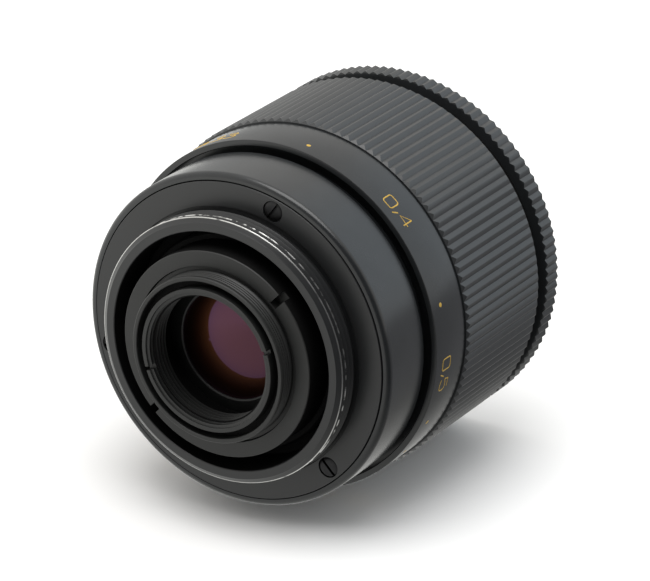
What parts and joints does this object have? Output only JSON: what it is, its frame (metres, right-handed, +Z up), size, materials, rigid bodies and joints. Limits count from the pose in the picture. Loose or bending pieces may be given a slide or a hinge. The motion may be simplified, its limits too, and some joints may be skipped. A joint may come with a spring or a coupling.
{
  "type": "enlarger lens",
  "caption": "Black screw-mount lens with a ribbed focusing ring, distance scale, knurled aperture ring, deep front hood and iris.",
  "frame": {"origin": "centre of the mount's seat plane, on the optical axis", "axes": "+Y along the optical axis towards the front, +Z up with the lens lying level, +X completes the right-handed set"},
  "size_m": [0.0572, 0.0578, 0.0572],
  "materials": {
    "black_anodised": "satin black anodised",
    "matt_black": "matt black",
    "blued_steel": "blackened steel",
    "spring_steel": "ground steel",
    "brass": "machined brass",
    "coated_glass": "polished, single-layer coated"
  },
  "bodies": {
    "mount_barrel": {"mount_ring": "black_anodised", "mount_screws": "blued_steel", "fixed_barrel": "black_anodised", "guide_keys": "brass", "bearing_collar": "matt_black", "stop_block": "blued_steel"},
    "focusing_ring": {"scale_ring": "black_anodised", "grip_sleeve": "black_anodised", "helicoid_nut": "brass", "nut_ring": "matt_black", "nut_screws": "blued_steel", "stop_pin": "blued_steel"},
    "lens_block": {"focusing_tube": "matt_black", "optical_barrel": "matt_black", "rear_retainer": "matt_black", "rear_baffle": "matt_black", "rear_cell": "matt_black", "rear_lens": "coated_glass", "rear_cemented_lens": "coated_glass", "rear_lens_clamp": "matt_black", "iris_base": "matt_black", "front_cell": "matt_black", "middle_lens": "coated_glass", "lens_spacer": "matt_black", "front_lens": "coated_glass", "front_retainer": "matt_black", "front_hood": "black_anodised", "front_rim": "black_anodised", "click_ball": "spring_steel", "click_spring": "spring_steel", "block_grub_screws": "blued_steel"},
    "aperture_control": {"iris_cam": "matt_black", "iris_drive_pin": "spring_steel", "aperture_sleeve": "matt_black", "aperture_ring": "black_anodised", "sleeve_screws": "blued_steel"},
    "blade_1": {"iris_blade_1": "spring_steel"},
    "blade_2": {"iris_blade_2": "spring_steel"},
    "blade_3": {"iris_blade_3": "spring_steel"},
    "blade_4": {"iris_blade_4": "spring_steel"},
    "blade_5": {"iris_blade_5": "spring_steel"},
    "blade_6": {"iris_blade_6": "spring_steel"}
  },
  "joints": [
    {"name": "focus_turn", "type": "hinge", "parent": "mount_barrel", "child": "focusing_ring", "pos_m": [0, 0.0264, 0], "axis": [0, 1, 0], "range_deg": [0, 330.19]},
    {"name": "block_slide", "type": "slide", "parent": "mount_barrel", "child": "lens_block", "axis": [0, 1, 0], "range_m": [0, 0.0134]},
    {"name": "aperture_turn", "type": "hinge", "parent": "lens_block", "child": "aperture_control", "pos_m": [0, 0.044, 0], "axis": [0, -1, 0], "range_deg": [0, 50]},
    {"name": "blade_1_swing", "type": "hinge", "parent": "lens_block", "child": "blade_1", "pos_m": [0.01408, 0.0055, 0.00248], "axis": [0, -1, 0], "range_deg": [0, 30]},
    {"name": "blade_2_swing", "type": "hinge", "parent": "lens_block", "child": "blade_2", "pos_m": [0.00489, 0.0055, 0.01344], "axis": [0, -1, 0], "range_deg": [0, 30]},
    {"name": "blade_3_swing", "type": "hinge", "parent": "lens_block", "child": "blade_3", "pos_m": [-0.00919, 0.0055, 0.01095], "axis": [0, -1, 0], "range_deg": [0, 30]},
    {"name": "blade_4_swing", "type": "hinge", "parent": "lens_block", "child": "blade_4", "pos_m": [-0.01408, 0.0055, -0.00248], "axis": [0, -1, 0], "range_deg": [0, 30]},
    {"name": "blade_5_swing", "type": "hinge", "parent": "lens_block", "child": "blade_5", "pos_m": [-0.00489, 0.0055, -0.01344], "axis": [0, -1, 0], "range_deg": [0, 30]},
    {"name": "blade_6_swing", "type": "hinge", "parent": "lens_block", "child": "blade_6", "pos_m": [0.00919, 0.0055, -0.01095], "axis": [0, -1, 0], "range_deg": [0, 30]}
  ],
  "couplings": [
    {"joint": "block_slide", "follows": "focus_turn", "m_per_rad": 0.0023253},
    {"joint": "blade_1_swing", "follows": "aperture_turn", "ratio": 0.6},
    {"joint": "blade_2_swing", "follows": "aperture_turn", "ratio": 0.6},
    {"joint": "blade_3_swing", "follows": "aperture_turn", "ratio": 0.6},
    {"joint": "blade_4_swing", "follows": "aperture_turn", "ratio": 0.6},
    {"joint": "blade_5_swing", "follows": "aperture_turn", "ratio": 0.6},
    {"joint": "blade_6_swing", "follows": "aperture_turn", "ratio": 0.6}
  ]
}
